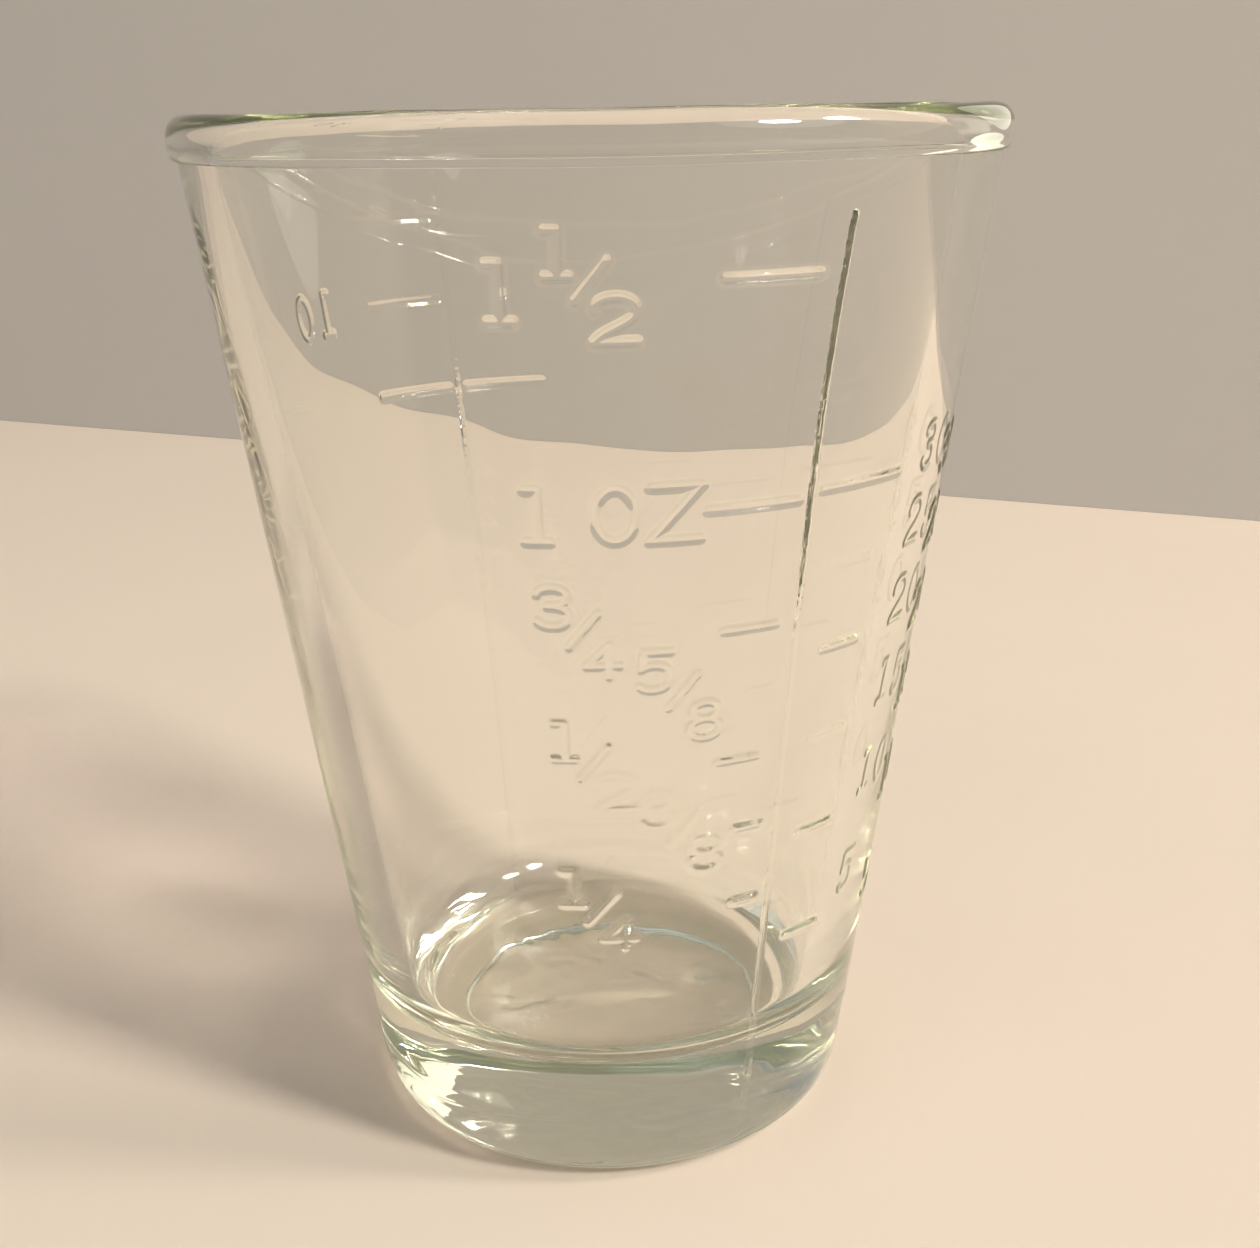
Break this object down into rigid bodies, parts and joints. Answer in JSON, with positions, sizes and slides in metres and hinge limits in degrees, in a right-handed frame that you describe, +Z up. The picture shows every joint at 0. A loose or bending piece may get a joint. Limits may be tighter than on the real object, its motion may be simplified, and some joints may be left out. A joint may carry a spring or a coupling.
{
  "type": "measuring glass",
  "caption": "Small tapered pressed-glass measuring cup with a thick solid foot, a rounded rim bead and raised ounce, cubic centimetre and dram scales on the outside.",
  "frame": {"origin": "centre of the base, on the surface the glass stands on", "axes": "+Z up along the glass's axis; -Y out of the front, between the ounce figures and the front mould seam; +X to the right seen from the front"},
  "size_m": [0.0486, 0.0486, 0.063],
  "materials": {
    "clear_glass": "smooth pressed glass, fire-polished",
    "raised_glass": "smooth pressed glass, softly rounded relief"
  },
  "bodies": {
    "root": {"foot": "clear_glass", "wall": "clear_glass", "rim_bead": "clear_glass", "back_ounce_line": "raised_glass", "back_seam": "raised_glass", "cc_10_digit_1": "raised_glass", "cc_10_digit_2": "raised_glass", "cc_10_line": "raised_glass", "cc_15_digit_1": "raised_glass", "cc_15_digit_2": "raised_glass", "cc_15_line": "raised_glass", "cc_20_digit_1": "raised_glass", "cc_20_digit_2": "raised_glass", "cc_20_line": "raised_glass", "cc_25_digit_1": "raised_glass", "cc_25_digit_2": "raised_glass", "cc_25_line": "raised_glass", "cc_30_digit_1": "raised_glass", "cc_30_digit_2": "raised_glass", "cc_30_line": "raised_glass", "cc_5_digit_1": "raised_glass", "cc_5_line": "raised_glass", "dram_10_digit_1": "raised_glass", "dram_10_digit_2": "raised_glass", "dram_10_line": "raised_glass", "dram_12_line": "raised_glass", "dram_8_line": "raised_glass", "front_seam": "raised_glass", "ounce_1_1_2_denominator": "raised_glass", "ounce_1_1_2_line": "raised_glass", "ounce_1_1_2_numerator": "raised_glass", "ounce_1_1_2_slash": "raised_glass", "ounce_1_1_2_whole": "raised_glass", "ounce_1_2_denominator": "raised_glass", "ounce_1_2_line": "raised_glass", "ounce_1_2_numerator": "raised_glass", "ounce_1_2_slash": "raised_glass", "ounce_1_4_denominator": "raised_glass", "ounce_1_4_line": "raised_glass", "ounce_1_4_numerator": "raised_glass", "ounce_1_4_slash": "raised_glass", "ounce_1_letter_O": "raised_glass", "ounce_1_letter_Z": "raised_glass", "ounce_1_line": "raised_glass", "ounce_1_whole": "raised_glass", "ounce_3_4_denominator": "raised_glass", "ounce_3_4_line": "raised_glass", "ounce_3_4_numerator": "raised_glass", "ounce_3_4_slash": "raised_glass", "ounce_3_8_denominator": "raised_glass", "ounce_3_8_line": "raised_glass", "ounce_3_8_numerator": "raised_glass", "ounce_3_8_slash": "raised_glass", "ounce_5_8_denominator": "raised_glass", "ounce_5_8_line": "raised_glass", "ounce_5_8_numerator": "raised_glass", "ounce_5_8_slash": "raised_glass"}
  },
  "joints": []
}
